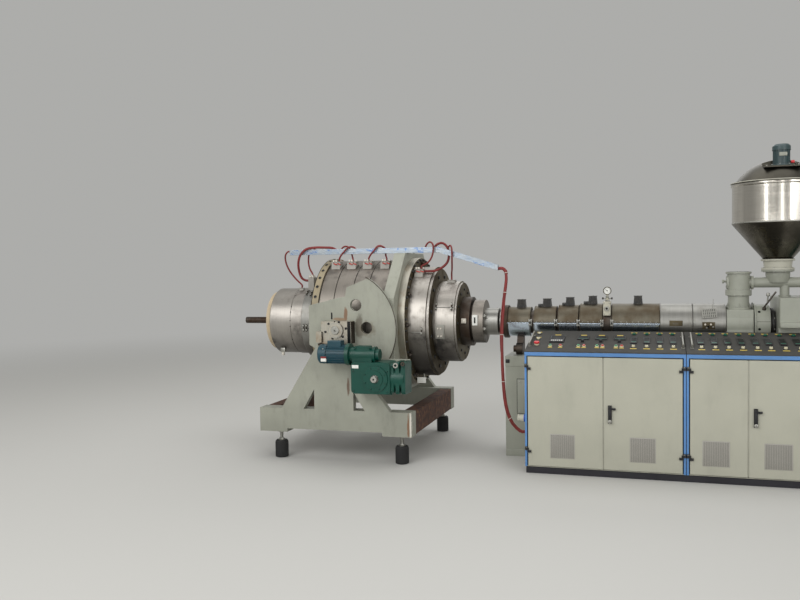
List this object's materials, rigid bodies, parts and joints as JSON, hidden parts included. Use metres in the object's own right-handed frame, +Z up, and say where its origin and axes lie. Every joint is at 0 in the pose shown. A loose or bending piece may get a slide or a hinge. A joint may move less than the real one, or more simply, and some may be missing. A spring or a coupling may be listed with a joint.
{
  "type": "pipe extruder with die head",
  "caption": "Plastic pipe extruder: control cabinets, heated barrel, hopper and gearbox on a base, with a large die head on its own stand.",
  "frame": {"origin": "on the floor under the axis of the vertical feed pipe, on the underside of the machine base", "axes": "+X along the screw axis from the die to the motor, +Y away from the operator's side, +Z up"},
  "size_m": [5.509, 1.676, 2.339],
  "materials": {
    "machine_paint": "satin",
    "cabinet_paint": "satin",
    "blue_paint": "satin",
    "console_grey": "matte",
    "plinth_black": "matte",
    "stand_paint": "satin",
    "rusty_steel": "rough",
    "heater_steel": "brushed",
    "tinted_cover": "heat tinted",
    "tray_steel": "bright",
    "hopper_steel": "mirror",
    "dark_steel": "oiled",
    "bare_casting": "machined",
    "terminal_box": "matte",
    "terminal_plate": "matte",
    "green_paint": "gloss",
    "teal_paint": "gloss",
    "motor_blue": "gloss",
    "black_plastic": "matte",
    "black_rubber": "matte",
    "pipe_plastic": "matte",
    "tray_film": "film wrapped",
    "vent_block": "satin",
    "red_wire": "sleeved"
  },
  "bodies": {
    "machine": {"machine_base": "machine_paint", "barrel": "dark_steel", "cover_tops": "tinted_cover", "cover_trays": "tray_steel", "steel_covers": "heater_steel", "barrel_terminals": "terminal_box", "barrel_blowers": "dark_steel", "vent_port": "vent_block", "feed_throat": "machine_paint", "bearing_section": "machine_paint", "coupling": "dark_steel", "gearbox": "machine_paint", "drive_motor": "motor_blue", "feed_pipe": "machine_paint", "dosing_tube": "machine_paint", "dosing_motor": "green_paint", "dosing_support": "machine_paint", "hopper_outlet": "pipe_plastic", "hopper_cone": "hopper_steel", "hopper_shell": "hopper_steel", "hopper_dome": "hopper_steel", "stirrer_motor": "motor_blue", "plinth": "plinth_black", "cabinet_1": "cabinet_paint", "cabinet_2": "cabinet_paint", "blue_trim": "blue_paint", "consoles": "console_grey", "hinges": "black_plastic", "die_mandrel": "dark_steel", "die_lip": "pipe_plastic", "die_outlet": "heater_steel", "clamp_heater": "heater_steel", "die_front_flange": "bare_casting", "die_body": "dark_steel", "die_heaters": "heater_steel", "die_terminals": "terminal_plate", "saddle_plate": "stand_paint", "die_rear_flange": "bare_casting", "die_ring_a": "heater_steel", "die_ring_b": "heater_steel", "die_adapter": "dark_steel", "sector_plates": "stand_paint", "trunnion_blocks": "bare_casting", "stand_frames": "stand_paint", "stand_beams": "rusty_steel", "jack_feet": "black_rubber", "worm_reducer": "green_paint", "brake_motor": "teal_paint", "cable_tray": "tray_film", "reducer_plate": "stand_paint", "reducer_shaft": "bare_casting", "tray_wires": "red_wire", "heater_leads": "red_wire", "cable_bundle": "red_wire"},
    "door_1": {"door_1": "cabinet_paint"},
    "door_2": {"door_2": "cabinet_paint", "handle_1": "black_plastic"},
    "door_3": {"door_3": "cabinet_paint"},
    "door_4": {"door_4": "cabinet_paint", "handle_2": "black_plastic"}
  },
  "joints": [
    {"name": "door_1_hinge", "type": "hinge", "parent": "machine", "child": "door_1", "pos_m": [-1.476, -0.719, 0.45], "axis": [0, 0, -1], "range_deg": [0, 120]},
    {"name": "door_2_hinge", "type": "hinge", "parent": "machine", "child": "door_2", "pos_m": [-0.42, -0.719, 0.45], "axis": [0, 0, 1], "range_deg": [0, 90]},
    {"name": "door_3_hinge", "type": "hinge", "parent": "machine", "child": "door_3", "pos_m": [-0.372, -0.719, 0.45], "axis": [0, 0, -1], "range_deg": [0, 90]},
    {"name": "door_4_hinge", "type": "hinge", "parent": "machine", "child": "door_4", "pos_m": [0.366, -0.719, 0.45], "axis": [0, 0, 1], "range_deg": [0, 120]}
  ]
}
